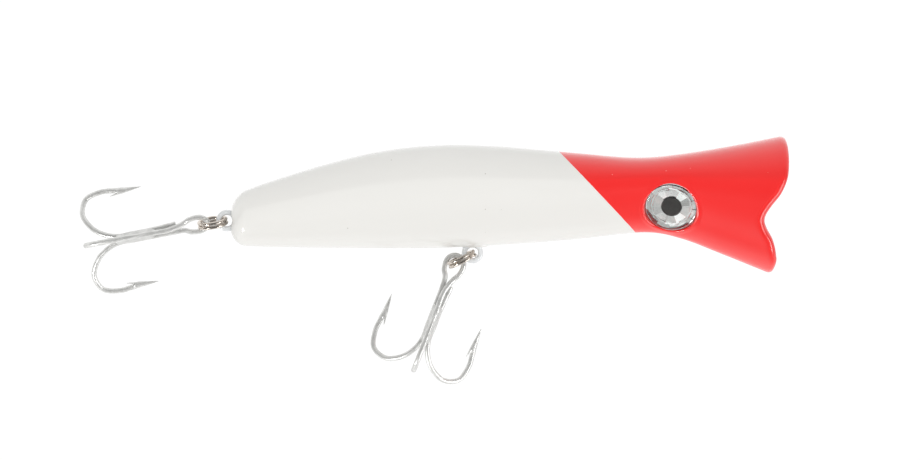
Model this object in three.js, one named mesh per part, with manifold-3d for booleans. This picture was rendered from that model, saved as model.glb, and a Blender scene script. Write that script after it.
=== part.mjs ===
// Topwater popper: a hollow moulded fishing lure on a through-wire, with two treble hooks.
// Millimetres. +X points out of the mouth, +Z towards the back, +Y to the lure's own left.
// The origin is the centre of the line-tie eye, and the through-wire runs along the X axis.

import * as THREE from "three";
import { mergeVertices } from "three/addons/utils/BufferGeometryUtils.js";
import Module from "manifold-3d";

const wasm = await Module();
wasm.setup();

// ---- driving dimensions -------------------------------------------------------------------

const TAIL_X = -149.5;             // flat end of the tail
const BODY_FRONT_X = 14;           // the loft runs past the face, which is then trimmed
const TAIL_ROUND = 4.3;            // radius that rounds the tail end
const SEAM_GAP = 0.05;             // each half shell stops this far from the middle plane
const BODY_SIDES = 28;             // facets round the body
const HOLLOW_SIDES = 16;           // facets round each hollow
const WALL = 2.0;                  // thickness of the moulded wall
const LIP_WALL = 1.6;              // thickness of the lip round the mouth
const CUP_BACK_X = -8.5;           // deepest point of the mouth cup
const CUP_FRONT_X = 12;            // where the cup's wall runs parallel to the body
const FIT = 0.2;                   // clearance round the pieces that the shells hold

const RING_RELIEF = 4.2;           // half length of the groove that clears the tail split ring
const RING_RELIEF_R = 1.9;
const HEAD_WALL = WALL + 3.2;      // the head is thicker, to hold the eye pockets
const WIRE_R = 0.75;               // through-wire
const LOOP_R = 2.35;               // mean radius of each hanger loop
const TAIL_LOOP = [-150.7, 0];     // centre of the tail hanger loop (x, z)
const BELLY_LOOP = [-80.1, -9.2];  // centre of the belly hanger loop (x, z)
const BELLY_SLOT_TOP = -4;         // the slot for the belly hanger opens into a hollow here
const LEG_FOOT = 0.7;              // half spacing of the belly hanger's legs at the loop
const LEG_HEAD = 3.2;              // and where they meet the through-wire

const EYE_X = -23.4;               // centre of the eye along the body
const EYE_ANGLE = -21.3;           // place of the eye round the section, degrees below the widest point
const EYE_R = 7.3;                 // printed eye foil
const EYE_SINK = 2.9;              // depth of the eye pocket below the surface at its centre
const PUPIL_R = 2.95;
const FOIL_SPAN = [0.2, 0.5];      // foil, pupil and lens: heights above the floor of the pocket
const PUPIL_SPAN = [0.6, 0.8];
const LENS_BASE = 0.95;
const LENS_RIM = 0.75;             // straight side of the lens
const LENS_BULGE = 0.4;            // how much its middle stands above its rim

const COIL_WIRE = 1.0;             // wire of a split ring, which has two coils side by side
const COIL_WIDTH = 2.1;            // both coils together
const RING_R = 3.95;               // mean radius of a split ring

const HOOK_WIRE_R = 0.8;
const HOOK_LENGTH = 36.8;          // from the bottom of the bends to the end of the eye
const SHANK_OFFSET = 1.05;         // each of the three shanks lies this far from the common axis
const HOOK_EYE_R = 2.7;            // mean radius of the round end of the hook's eye
const POINT_LENGTH = 3.4;          // sharpened cone at the tip of each hook
const NECK_STRETCH = 1.75;         // the eye draws in to the shanks over this much more height
const SINGLE_SHANK_END = 26.8;     // where the brazed single hook's shank stops
const SINGLE_SHANK_LIFT = 0.5;     // and how far its end stands off the other two

// One hook seen in its own plane: (distance from the bottom of the bend, distance from the axis).
const HOOK_BEND = [
  [10, SHANK_OFFSET], [5.9, 2.7], [2.9, 5.6], [1.0, 10.4], [2.7, 15.2], [7.2, 16.7],
  [11.5, 16.3], [15.6, 16.1],
];
const HOOK_SHANK = [[25, SHANK_OFFSET], [19, SHANK_OFFSET], [14, SHANK_OFFSET]];

// Side outline of the body, as (x, z) pairs.
const TOP_LINE = [
  [-149.5, 7.0], [-141.2, 10.3], [-123.9, 15.8], [-106.7, 20.0], [-89.4, 21.8], [-72.2, 21.4],
  [-49.2, 19.4], [-33.3, 18.2], [-20.4, 19.2], [-3.2, 22.0], [14, 25.5],
];
const BOTTOM_LINE = [
  [-149.5, -6.9], [-141.2, -7.5], [-115, -7.9], [-89.4, -7.85], [-66.4, -6.6], [-49.2, -5.2],
  [-31, -3.4], [-20.4, -5.1], [-8.9, -9.45], [4.6, -14.9], [14, -18.7],
];
// Half width of the body seen from above, as (x, y) pairs.
const SIDE_LINE = [
  [-149.5, 6.6], [-141.2, 8.3], [-123.9, 10.8], [-104, 12.6], [-84, 13.1], [-62, 12.1],
  [-45, 10.6], [-32, 9.9], [-20, 10.7], [-3.2, 13.4], [14, 16.6],
];
// Section of the body: how much wider it is above its middle than below, at each x.
const EGG_LINE = [
  [-149.5, 0.06], [-60, 0.10], [-30, 0.30], [-10, 0.22], [14, 0.10],
];
// Front edge of the mouth seen from the side, as (z, x) pairs: two lips with a notch between.
const FACE_LINE = [
  [34, 8.4], [24.5, 10.0], [21.5, 10.4], [17.4, 10.47], [12.8, 9.98], [8.2, 8.2], [4.2, 5.5],
  [1.3, 3.95], [-1.0, 3.55], [-3.6, 4.3], [-7.0, 6.0], [-11.2, 7.0], [-14.8, 6.9], [-24, 3.5],
];

// Hollow compartments between the bulkheads, as x ranges.
const HOLLOWS = [
  [-143, -134], [-132, -114], [-112, -92], [-90, -70], [-68, -55.5], [-53.5, -41],
];
const HEAD_HOLLOW = [-35, -14];
const PEGS = [[-133, 8.2], [-113, 12.5], [-91, 15.5], [-69, 15.5], [-40, 13.5], [-12.2, 13.5]];
const PEG_R = 1.0;
const PEG_LENGTH = 2.4;
const BOSS_R = 2.6;

const BALLAST_R = 4.1;
const BALLAST_FLAT_Z = -1.3;       // height of the ballast's flat side
const BALLAST_GAP = 0.3;           // room at each end of the ballast
const BALL_R = 2.5;
const BALL_Y = 3.9;
const BALL_Z = 2.8;

// Room round the whole lure, for cutting blocks.
const OUTSIDE = { back: -170, front: 40, side: 40, top: 34, bottom: -24 };

// ---- materials ----------------------------------------------------------------------------

function finish(color, roughness, metalness) {
  return new THREE.MeshStandardMaterial({ color, roughness, metalness });
}

const WHITE_PAINT = finish(0xeeeeea, 0.25, 0);
const LEAD = finish(0x77797c, 0.6, 0.8);
const STEEL = finish(0xb8b8b8, 0.25, 1);
const WIRE = finish(0xd9dce2, 0.35, 0.4);
const FOIL = finish(0xc4c8c8, 0.2, 0.9);
const PUPIL = finish(0x3a3633, 0.4, 0);
const LENS = finish(0xf4f6f8, 0.05, 0);
const NICKEL = finish(0xa89c8e, 0.22, 1);
const TIN = finish(0xc8cbc8, 0.35, 0.9);

// ---- solids -------------------------------------------------------------------------------

function toSolid(geometry) {
  const bare = geometry.index ? geometry.toNonIndexed() : geometry.clone();
  bare.deleteAttribute("normal");
  bare.deleteAttribute("uv");
  const merged = mergeVertices(bare, 1e-4);
  return new wasm.Manifold(new wasm.Mesh({
    numProp: 3,
    vertProperties: new Float32Array(merged.attributes.position.array),
    triVerts: new Uint32Array(merged.index.array),
  }));
}

function toGeometry(solid) {
  const mesh = solid.getMesh();
  const geometry = new THREE.BufferGeometry();
  geometry.setAttribute("position", new THREE.BufferAttribute(mesh.vertProperties, 3));
  geometry.setIndex(new THREE.BufferAttribute(mesh.triVerts, 1));
  geometry.computeVertexNormals();
  return geometry;
}

function united(solids) {
  return solids.reduce((whole, piece) => whole.add(piece));
}

// Moves a solid of revolution that was made about the Y axis so that it runs along a line.
function alongLine(geometry, start, end) {
  const from = new THREE.Vector3(...start);
  const along = new THREE.Vector3(...end).sub(from);
  geometry.translate(0, along.length() / 2, 0);
  const turn = new THREE.Quaternion().setFromUnitVectors(
    new THREE.Vector3(0, 1, 0), along.clone().normalize());
  geometry.applyQuaternion(turn);
  geometry.translate(from.x, from.y, from.z);
  return toSolid(geometry);
}

function lengthOf(start, end) {
  return new THREE.Vector3(...start).distanceTo(new THREE.Vector3(...end));
}

function cylinderBetween(start, end, radius, sides = 16) {
  const length = lengthOf(start, end);
  return alongLine(new THREE.CylinderGeometry(radius, radius, length, sides), start, end);
}

function coneBetween(start, end, radius, sides) {
  return alongLine(new THREE.ConeGeometry(radius, lengthOf(start, end), sides), start, end);
}

function box(low, high) {
  const geometry = new THREE.BoxGeometry(high[0] - low[0], high[1] - low[1], high[2] - low[2]);
  geometry.translate((low[0] + high[0]) / 2, (low[1] + high[1]) / 2, (low[2] + high[2]) / 2);
  return toSolid(geometry);
}

function torusInMiddlePlane(centre, radius, tubeRadius, around, sides) {
  const geometry = new THREE.TorusGeometry(radius, tubeRadius, sides, around);
  geometry.rotateX(Math.PI / 2);
  geometry.translate(centre[0], 0, centre[1]);
  return toSolid(geometry);
}

function roundSection(radius, sides) {
  const section = new THREE.Shape();
  for (let i = 0; i < sides; i++) {
    const angle = (i / sides) * 2 * Math.PI;
    const x = radius * Math.cos(angle);
    const y = radius * Math.sin(angle);
    if (i === 0) section.moveTo(x, y);
    else section.lineTo(x, y);
  }
  section.closePath();
  return section;
}

function tubeAlong(curve, radius, steps, sides) {
  const geometry = new THREE.ExtrudeGeometry(roundSection(radius, sides), {
    steps, extrudePath: curve, bevelEnabled: false, curveSegments: 1,
  });
  return toSolid(geometry);
}

// ---- the body's form ----------------------------------------------------------------------

// A smooth curve through (position, value) pairs, read at any position between them.
function lineReader(pairs) {
  const curve = new THREE.SplineCurve(pairs.map(([a, b]) => new THREE.Vector2(a, b)));
  const rising = pairs[pairs.length - 1][0] > pairs[0][0];
  return (position) => {
    let low = 0;
    let high = 1;
    for (let i = 0; i < 40; i++) {
      const middle = (low + high) / 2;
      const before = curve.getPoint(middle).x < position;
      if (before === rising) low = middle;
      else high = middle;
    }
    return curve.getPoint((low + high) / 2).y;
  };
}

const topAt = lineReader(TOP_LINE);
const bottomAt = lineReader(BOTTOM_LINE);
const sideAt = lineReader(SIDE_LINE);
const eggAt = lineReader(EGG_LINE);

// How far the rounded tail end pulls every section in.
function tailInset(x) {
  const along = TAIL_X + TAIL_ROUND - x;
  if (along <= 0) return 0;
  return TAIL_ROUND - Math.sqrt(Math.max(0, TAIL_ROUND ** 2 - along ** 2));
}

// Point on a section at x, at an angle from the widest side, pulled in by inset.
function sectionPoint(x, angle, inset) {
  const pull = inset + tailInset(x);
  const middle = (topAt(x) + bottomAt(x)) / 2;
  const height = (topAt(x) - bottomAt(x)) / 2 - pull;
  const width = sideAt(x) - pull;
  const y = width * Math.cos(angle) * (1 + eggAt(x) * Math.sin(angle));
  return new THREE.Vector3(x, y, middle + height * Math.sin(angle));
}

// Closed solid through rings of points; every ring has the same number of points.
function loft(rings) {
  const count = rings[0].length;
  const positions = [];
  const put = (a, b, c) => positions.push(a.x, a.y, a.z, b.x, b.y, b.z, c.x, c.y, c.z);
  for (let i = 0; i + 1 < rings.length; i++) {
    for (let j = 0; j < count; j++) {
      const k = (j + 1) % count;
      put(rings[i][j], rings[i][k], rings[i + 1][j]);
      put(rings[i][k], rings[i + 1][k], rings[i + 1][j]);
    }
  }
  const centreOf = (ring) => ring
    .reduce((sum, point) => sum.add(point), new THREE.Vector3())
    .divideScalar(count);
  const first = rings[0];
  const last = rings[rings.length - 1];
  const firstCentre = centreOf(first);
  const lastCentre = centreOf(last);
  for (let j = 0; j < count; j++) {
    const k = (j + 1) % count;
    put(firstCentre, first[k], first[j]);
    put(lastCentre, last[j], last[k]);
  }
  const geometry = new THREE.BufferGeometry();
  geometry.setAttribute("position", new THREE.Float32BufferAttribute(positions, 3));
  return toSolid(geometry);
}

function sectionRing(x, inset, sides, scale = 1) {
  const ring = [];
  const middle = (topAt(x) + bottomAt(x)) / 2;
  for (let j = 0; j < sides; j++) {
    const point = sectionPoint(x, (j / sides) * 2 * Math.PI, inset);
    point.y *= scale;
    point.z = middle + (point.z - middle) * scale;
    ring.push(point);
  }
  return ring;
}

function bodySolid() {
  const stations = [];
  for (let i = 0; i <= 4; i++) {
    stations.push(TAIL_X + TAIL_ROUND * (1 - Math.cos((i / 4) * Math.PI / 2)));
  }
  const rest = 20;
  const start = stations[stations.length - 1];
  for (let i = 1; i <= rest; i++) {
    stations.push(start + (BODY_FRONT_X - start) * (i / rest));
  }
  return loft(stations.map((x) => sectionRing(x, 0, BODY_SIDES)));
}

// Everything in front of the mouth's edge.
function faceCutter() {
  const edge = new THREE.SplineCurve(FACE_LINE.map(([z, x]) => new THREE.Vector2(x, z)));
  const points = edge.getPoints(26);
  const outline = new THREE.Shape();
  outline.moveTo(OUTSIDE.front, OUTSIDE.top);
  points.forEach((point) => outline.lineTo(point.x, point.y));
  outline.lineTo(OUTSIDE.front, OUTSIDE.bottom);
  outline.closePath();
  const depth = 2 * OUTSIDE.side;
  const geometry = new THREE.ExtrudeGeometry(outline, { depth, bevelEnabled: false });
  geometry.rotateX(Math.PI / 2);
  geometry.translate(0, OUTSIDE.side, 0);
  return toSolid(geometry);
}

// The dished mouth: an elliptical bowl that follows the lip.
function cupSolid() {
  const rings = [];
  const steps = 7;
  for (let i = 1; i <= steps; i++) {
    const turn = (i / steps) * Math.PI / 2;
    const x = CUP_BACK_X + (CUP_FRONT_X - CUP_BACK_X) * (1 - Math.cos(turn));
    rings.push(sectionRing(x, LIP_WALL, BODY_SIDES, Math.sin(turn)));
  }
  rings.push(sectionRing(BODY_FRONT_X + 2, LIP_WALL, BODY_SIDES));
  return loft(rings);
}

function hollowSolid(range, inset) {
  const rings = [];
  const steps = 2;
  for (let i = 0; i <= steps; i++) {
    rings.push(sectionRing(range[0] + (range[1] - range[0]) * (i / steps), inset, HOLLOW_SIDES));
  }
  return loft(rings);
}

// ---- the eye sockets ----------------------------------------------------------------------

function eyeFrame(side) {
  const angle = THREE.MathUtils.degToRad(EYE_ANGLE);
  const step = 0.01;
  const centre = sectionPoint(EYE_X, angle, 0);
  const alongX = sectionPoint(EYE_X + step, angle, 0).sub(sectionPoint(EYE_X - step, angle, 0));
  const round = sectionPoint(EYE_X, angle + step, 0).sub(sectionPoint(EYE_X, angle - step, 0));
  const outward = new THREE.Vector3().crossVectors(round, alongX).normalize();
  if (outward.y < 0) outward.negate();
  centre.y *= side;
  outward.y *= side;
  return { centre, outward };
}

// A solid of revolution about the eye's axis; the profile holds (radius, height) pairs, and
// height 0 is the surface of the body.
function onEye(side, profile, sides = 24) {
  const { centre, outward } = eyeFrame(side);
  const points = profile.map(([radius, height]) => new THREE.Vector2(radius, height));
  const geometry = new THREE.LatheGeometry(points, sides);
  const turn = new THREE.Quaternion().setFromUnitVectors(new THREE.Vector3(0, 1, 0), outward);
  geometry.applyQuaternion(turn);
  geometry.translate(centre.x, centre.y, centre.z);
  return toSolid(geometry);
}

function disc(radius, low, high) {
  return [[0, low], [radius, low], [radius, high], [0, high]];
}

function lensProfile() {
  const base = LENS_BASE - EYE_SINK;
  const profile = [[0, base], [EYE_R, base]];
  const steps = 6;
  for (let i = 0; i <= steps; i++) {
    const turn = (i / steps) * Math.PI / 2;
    const radius = i < steps ? EYE_R * Math.cos(turn) : 0;
    profile.push([radius, base + LENS_RIM + LENS_BULGE * Math.sin(turn)]);
  }
  return profile;
}

// ---- shells -------------------------------------------------------------------------------

function wireSpace() {
  const radius = WIRE_R + FIT;
  const channel = cylinderBetween([TAIL_X - 2, 0, 0], [CUP_BACK_X + 3, 0, 0], radius, 12);
  const reach = LOOP_R + WIRE_R + FIT;
  const tail = box([TAIL_LOOP[0], -radius, -reach], [TAIL_LOOP[0] + reach, radius, reach]);
  const relief = cylinderBetween(
    [TAIL_LOOP[0], -RING_RELIEF, 0], [TAIL_LOOP[0], RING_RELIEF, 0], RING_RELIEF_R, 16);
  const belly = box(
    [BELLY_LOOP[0] - reach, -radius, BELLY_LOOP[1]],
    [BELLY_LOOP[0] + reach, radius, BELLY_SLOT_TOP]);
  return united([channel, tail, relief, belly]);
}

function shellBlank() {
  let blank = bodySolid().subtract(faceCutter()).subtract(cupSolid());
  let hollows = united(HOLLOWS.map((range) => hollowSolid(range, WALL)));
  hollows = hollows.add(hollowSolid(HEAD_HOLLOW, HEAD_WALL));
  const bosses = united(PEGS.map(([x, z]) => cylinderBetween(
    [x, -OUTSIDE.side, z], [x, OUTSIDE.side, z], BOSS_R, 12)));
  blank = blank.subtract(hollows.subtract(bosses));
  blank = blank.subtract(wireSpace());
  [-1, 1].forEach((side) => {
    blank = blank.subtract(onEye(side, disc(EYE_R + FIT, -EYE_SINK, EYE_R)));
  });
  return blank;
}

function halfOf(solid, side) {
  const low = side > 0 ? SEAM_GAP : -OUTSIDE.side;
  const high = side > 0 ? OUTSIDE.side : -SEAM_GAP;
  return solid.intersect(box(
    [OUTSIDE.back, low, OUTSIDE.bottom], [OUTSIDE.front, high, OUTSIDE.top]));
}

function pegs(radius, reach) {
  const root = WALL - 0.5;
  return united(PEGS.map(([x, z]) => cylinderBetween([x, -reach, z], [x, root, z], radius, 8)));
}

// ---- wire, weights and balls --------------------------------------------------------------

function throughWire() {
  const sides = 8;
  const around = 24;
  const spine = cylinderBetween([TAIL_LOOP[0] + LOOP_R, 0, 0], [-LOOP_R, 0, 0], WIRE_R, sides);
  const tie = torusInMiddlePlane([0, 0], LOOP_R, WIRE_R, around, sides);
  const tail = torusInMiddlePlane(TAIL_LOOP, LOOP_R, WIRE_R, around, sides);
  const belly = torusInMiddlePlane(BELLY_LOOP, LOOP_R, WIRE_R, around, sides);
  const legs = [-1, 1].map((side) => cylinderBetween(
    [BELLY_LOOP[0] + side * LEG_FOOT, 0, BELLY_LOOP[1] + LOOP_R - 0.1],
    [BELLY_LOOP[0] + side * LEG_HEAD, 0, 0], WIRE_R, sides));
  return united([spine, tie, tail, belly, ...legs]);
}

// Half-round lead weight lying on the floor of a compartment, flat side up.
function ballast(range) {
  const outline = new THREE.Shape();
  outline.absarc(0, 0, BALLAST_R, Math.PI, 2 * Math.PI, false);
  outline.closePath();
  const length = range[1] - range[0] - 2 * BALLAST_GAP;
  const geometry = new THREE.ExtrudeGeometry(outline, {
    depth: length, bevelEnabled: false, curveSegments: 10,
  });
  geometry.rotateX(Math.PI / 2);
  geometry.rotateZ(Math.PI / 2);
  geometry.translate(range[0] + BALLAST_GAP, 0, BALLAST_FLAT_Z);
  return toSolid(geometry);
}

// ---- split rings --------------------------------------------------------------------------

// A ring crosses its hanger loop at `start` and runs from there along `angle` (degrees from
// +X towards +Z in the middle plane). `lean` tips its plane out of the level across the lure.
function ringFrame(start, angle, lean) {
  const turn = THREE.MathUtils.degToRad(angle);
  const tip = THREE.MathUtils.degToRad(lean);
  const along = new THREE.Vector3(Math.cos(turn), 0, Math.sin(turn));
  const up = new THREE.Vector3(0, 1, 0).cross(along).normalize();
  if (up.z < 0) up.negate();
  const across = new THREE.Vector3(0, Math.cos(tip), 0).addScaledVector(up, Math.sin(tip));
  const centre = new THREE.Vector3(start[0], 0, start[1]).addScaledVector(along, RING_R);
  const normal = new THREE.Vector3().crossVectors(along, across).normalize();
  return { centre, along, across, normal };
}

// Both coils as one closed ring: an upright section with its corners taken off.
function splitRing(frame) {
  const half = COIL_WIDTH / 2;
  const r = COIL_WIRE / 2;
  const flat = r * 0.45;
  const corner = r * 0.6;
  const profile = [
    [RING_R - flat, -half], [RING_R + flat, -half],
    [RING_R + r, corner - half], [RING_R + r, half - corner],
    [RING_R + flat, half], [RING_R - flat, half],
    [RING_R - r, half - corner], [RING_R - r, corner - half],
    [RING_R - flat, -half],
  ].map(([radius, height]) => new THREE.Vector2(radius, height));
  const geometry = new THREE.LatheGeometry(profile, 32);
  const basis = new THREE.Matrix4().makeBasis(
    frame.along, frame.normal, new THREE.Vector3().crossVectors(frame.along, frame.normal));
  geometry.applyMatrix4(basis);
  geometry.translate(frame.centre.x, frame.centre.y, frame.centre.z);
  return toSolid(geometry);
}

// ---- treble hooks -------------------------------------------------------------------------

// A treble's frame: bottom is the foot of the axis, up runs to the eye, and the hooks fan out
// round it. The hook at 0 degrees points to the lure's right.
function trebleFrame(bottom, up) {
  const axis = new THREE.Vector3(...up).normalize();
  const front = new THREE.Vector3(0, -1, 0);
  front.addScaledVector(axis, -front.dot(axis)).normalize();
  const side = new THREE.Vector3().crossVectors(axis, front).normalize();
  const direction = (degrees) => {
    const angle = THREE.MathUtils.degToRad(degrees);
    return front.clone().multiplyScalar(Math.cos(angle)).addScaledVector(side, Math.sin(angle));
  };
  return { bottom: new THREE.Vector3(...bottom), axis, direction };
}

function placeOn(frame, height, offset, direction) {
  return frame.bottom.clone()
    .addScaledVector(frame.axis, height)
    .addScaledVector(direction, offset);
}

function hookPoints(frame, degrees, profile) {
  const direction = frame.direction(degrees);
  return profile.map(([height, offset]) => placeOn(frame, height, offset, direction));
}

function hookPoint(frame, degrees) {
  const [height, offset] = HOOK_BEND[HOOK_BEND.length - 1];
  const direction = frame.direction(degrees);
  const start = placeOn(frame, height - 0.3, offset + 0.01, direction);
  const tip = placeOn(frame, height + POINT_LENGTH, offset - 0.1, direction);
  return coneBetween(start.toArray(), tip.toArray(), HOOK_WIRE_R, 7);
}

// Two hooks bent from one wire, with the eye between them. `eyeTwist` turns the eye's plane
// from the plane of the two shanks.
function doubleHook(frame, first, second, eyeTwist) {
  const across = frame.direction(first).sub(frame.direction(second)).normalize();
  across.applyAxisAngle(frame.axis, THREE.MathUtils.degToRad(eyeTwist));
  const centre = HOOK_LENGTH - HOOK_WIRE_R - HOOK_EYE_R;
  const eye = [];
  [-60, -30, 0, 30, 60, 90, 120, 150, 180, 210, 240].forEach((degrees) => {
    const angle = THREE.MathUtils.degToRad(degrees);
    const isNeck = degrees < 0 || degrees > 180;
    const stretch = isNeck ? NECK_STRETCH : 1;
    const height = centre + HOOK_EYE_R * Math.sin(angle) * stretch;
    eye.push(placeOn(frame, height, HOOK_EYE_R * Math.cos(angle), across));
  });
  const one = hookPoints(frame, first, [...HOOK_BEND].reverse());
  const shankOne = hookPoints(frame, first, [...HOOK_SHANK].reverse());
  const shankTwo = hookPoints(frame, second, HOOK_SHANK);
  const two = hookPoints(frame, second, HOOK_BEND);
  const points = [...one, ...shankOne, ...eye, ...shankTwo, ...two];
  const wire = tubeAlong(
    new THREE.CatmullRomCurve3(points, false, "centripetal"), HOOK_WIRE_R, 84, 7);
  return united([wire, hookPoint(frame, first), hookPoint(frame, second)]);
}

function singleHook(frame, degrees) {
  const end = [SINGLE_SHANK_END, SHANK_OFFSET + SINGLE_SHANK_LIFT];
  const shank = [end, [19, SHANK_OFFSET], [14, SHANK_OFFSET]];
  const points = hookPoints(frame, degrees, [...shank, ...HOOK_BEND]);
  const wire = tubeAlong(
    new THREE.CatmullRomCurve3(points, false, "centripetal"), HOOK_WIRE_R, 32, 7);
  return united([wire, hookPoint(frame, degrees)]);
}

// ---- the assembly -------------------------------------------------------------------------

const lure = new THREE.Group();

function addPiece(name, solid, material) {
  const mesh = new THREE.Mesh(toGeometry(solid), material);
  mesh.name = name;
  lure.add(mesh);
}

const blank = shellBlank();
const rightHalf = halfOf(blank, -1).subtract(pegs(PEG_R + FIT, PEG_LENGTH + FIT));
const leftHalf = halfOf(blank, 1).add(pegs(PEG_R, PEG_LENGTH));
addPiece("right_body_shell", rightHalf, WHITE_PAINT);
addPiece("left_body_shell", leftHalf, WHITE_PAINT);
addPiece("through_wire", throughWire(), WIRE);
addPiece("tail_ballast_weight", ballast(HOLLOWS[1]), LEAD);
addPiece("belly_ballast_weight", ballast(HOLLOWS[2]), LEAD);

const middleOf = ([start, end]) => (start + end) / 2;
const BALL_PLACES = {
  front_right_rattle_ball: [middleOf(HOLLOWS[5]), -BALL_Y],
  front_left_rattle_ball: [middleOf(HOLLOWS[5]), BALL_Y],
  rear_right_rattle_ball: [middleOf(HOLLOWS[4]), -BALL_Y],
  rear_left_rattle_ball: [middleOf(HOLLOWS[4]), BALL_Y],
};
Object.entries(BALL_PLACES).forEach(([name, [x, y]]) => {
  const ball = new THREE.Mesh(new THREE.SphereGeometry(BALL_R, 12, 8), STEEL);
  ball.name = name;
  ball.position.set(x, y, BALL_Z);
  lure.add(ball);
});

[["right", -1], ["left", 1]].forEach(([word, side]) => {
  const [foilLow, foilHigh] = FOIL_SPAN.map((height) => height - EYE_SINK);
  const [pupilLow, pupilHigh] = PUPIL_SPAN.map((height) => height - EYE_SINK);
  addPiece(`${word}_eye_foil`, onEye(side, disc(EYE_R, foilLow, foilHigh)), FOIL);
  addPiece(`${word}_eye_pupil`, onEye(side, disc(PUPIL_R, pupilLow, pupilHigh)), PUPIL);
  addPiece(`${word}_eye_lens`, onEye(side, lensProfile()), LENS);
});

const TAIL_RING = ringFrame([-150.9, 0.1], 190, 13);
const BELLY_RING = ringFrame([-79.63, -9.29], 206.7, 3.7);
addPiece("tail_split_ring", splitRing(TAIL_RING), NICKEL);
addPiece("belly_split_ring", splitRing(BELLY_RING), NICKEL);

const TAIL_TREBLE = trebleFrame([-191.75, 0, -7.35], [0.9821, 0, 0.1882]);
const BELLY_TREBLE = trebleFrame([-97.3, 2.5, -43.72], [0.3611, 0, 0.9325]);
addPiece("tail_treble_double_hook", doubleHook(TAIL_TREBLE, 0, 120, -18), TIN);
addPiece("tail_treble_single_hook", singleHook(TAIL_TREBLE, 240), TIN);
addPiece("belly_treble_double_hook", doubleHook(BELLY_TREBLE, 0, 240, 47), TIN);
addPiece("belly_treble_single_hook", singleHook(BELLY_TREBLE, 120), TIN);

export default lure;
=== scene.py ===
# Topwater popper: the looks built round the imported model.
# Outlines and profiles are in millimetres and are scaled to metres when a mesh is made.

import math
import random

import bmesh
import bpy
import numpy as np
from mathutils import Matrix, Vector


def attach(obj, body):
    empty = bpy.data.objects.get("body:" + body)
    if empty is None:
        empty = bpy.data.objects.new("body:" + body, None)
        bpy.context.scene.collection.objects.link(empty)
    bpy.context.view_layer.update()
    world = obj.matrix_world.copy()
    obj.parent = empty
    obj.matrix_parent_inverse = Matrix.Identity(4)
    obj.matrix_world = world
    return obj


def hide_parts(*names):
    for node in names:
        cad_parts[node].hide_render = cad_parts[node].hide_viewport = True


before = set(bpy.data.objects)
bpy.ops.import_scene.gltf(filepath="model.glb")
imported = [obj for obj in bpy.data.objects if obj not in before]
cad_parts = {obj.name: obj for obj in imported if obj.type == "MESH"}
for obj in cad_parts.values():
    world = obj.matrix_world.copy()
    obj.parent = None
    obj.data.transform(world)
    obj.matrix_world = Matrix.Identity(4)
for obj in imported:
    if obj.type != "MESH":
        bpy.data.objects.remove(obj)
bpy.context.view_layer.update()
MM = 0.001
LURE = "lure_body"

# ---- camera -------------------------------------------------------------------------------

LENS_MM = 300
SENSOR_MM = 36
VIEW_WIDTH = 0.2645                       # width of the view where the lure is
VIEW_CENTRE = Vector((-0.0837, 0.0, -0.0027))
VIEW_DISTANCE = VIEW_WIDTH * LENS_MM / SENSOR_MM


def make_camera():
    data = bpy.data.cameras.new("camera")
    data.lens = LENS_MM
    data.sensor_width = SENSOR_MM
    data.clip_start = 0.05
    data.clip_end = 60
    camera = bpy.data.objects.new("camera", data)
    camera.location = VIEW_CENTRE + Vector((0, -VIEW_DISTANCE, 0))
    camera.rotation_euler = (math.pi / 2, 0, 0)
    bpy.context.scene.collection.objects.link(camera)
    bpy.context.scene.camera = camera


make_camera()

# ---- body outlines (the same driving lines as the CAD part) -------------------------------

TAIL_X = -149.5
TAIL_ROUND = 4.3
WALL = 2.0
LIP_WALL = 1.7
LIP_ROUND = 2.4                           # how far the rounded lip reaches past its wall
LIP_CREST = 0.75                          # where across the lip its crest lies, from the outside
CUP_BACK_X = -8.5
CUP_FRONT_X = 12.0
TOP_LINE = [
    (-149.5, 7.0), (-141.2, 10.3), (-123.9, 15.8), (-106.7, 20.0), (-89.4, 21.8), (-72.2, 21.4),
    (-49.2, 19.4), (-33.3, 18.2), (-20.4, 19.2), (-3.2, 22.0), (14, 25.5),
]
BOTTOM_LINE = [
    (-149.5, -6.9), (-141.2, -7.5), (-115, -7.9), (-89.4, -7.85), (-66.4, -6.6), (-49.2, -5.2),
    (-31, -3.4), (-20.4, -5.1), (-8.9, -9.45), (4.6, -14.9), (14, -18.7),
]
SIDE_LINE = [
    (-149.5, 6.6), (-141.2, 8.3), (-123.9, 10.8), (-104, 12.6), (-84, 13.1), (-62, 12.1),
    (-45, 10.6), (-32, 9.9), (-20, 10.7), (-3.2, 13.4), (14, 16.6),
]
EGG_LINE = [(-149.5, 0.06), (-60, 0.10), (-30, 0.30), (-10, 0.22), (14, 0.10)]
FACE_LINE = [
    (34, 8.4), (24.5, 10.0), (21.5, 10.4), (17.4, 10.47), (12.8, 9.98), (8.2, 8.2), (4.2, 5.5),
    (1.3, 3.95), (-1.0, 3.55), (-3.6, 4.3), (-7.0, 6.0), (-11.2, 7.0), (-14.8, 6.9), (-24, 3.5),
]
HOLLOWS = [(-143, -134), (-132, -114), (-112, -92), (-90, -70), (-68, -55.5), (-53.5, -41)]
HEAD_HOLLOW = (-35, -14)
HEAD_WALL = WALL + 3.2
TAIL_LOOP = (-150.7, 0.0)
BELLY_LOOP = (-80.1, -9.2)
LOOP_R = 2.35
WIRE_R = 0.75
FIT = 0.2


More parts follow.
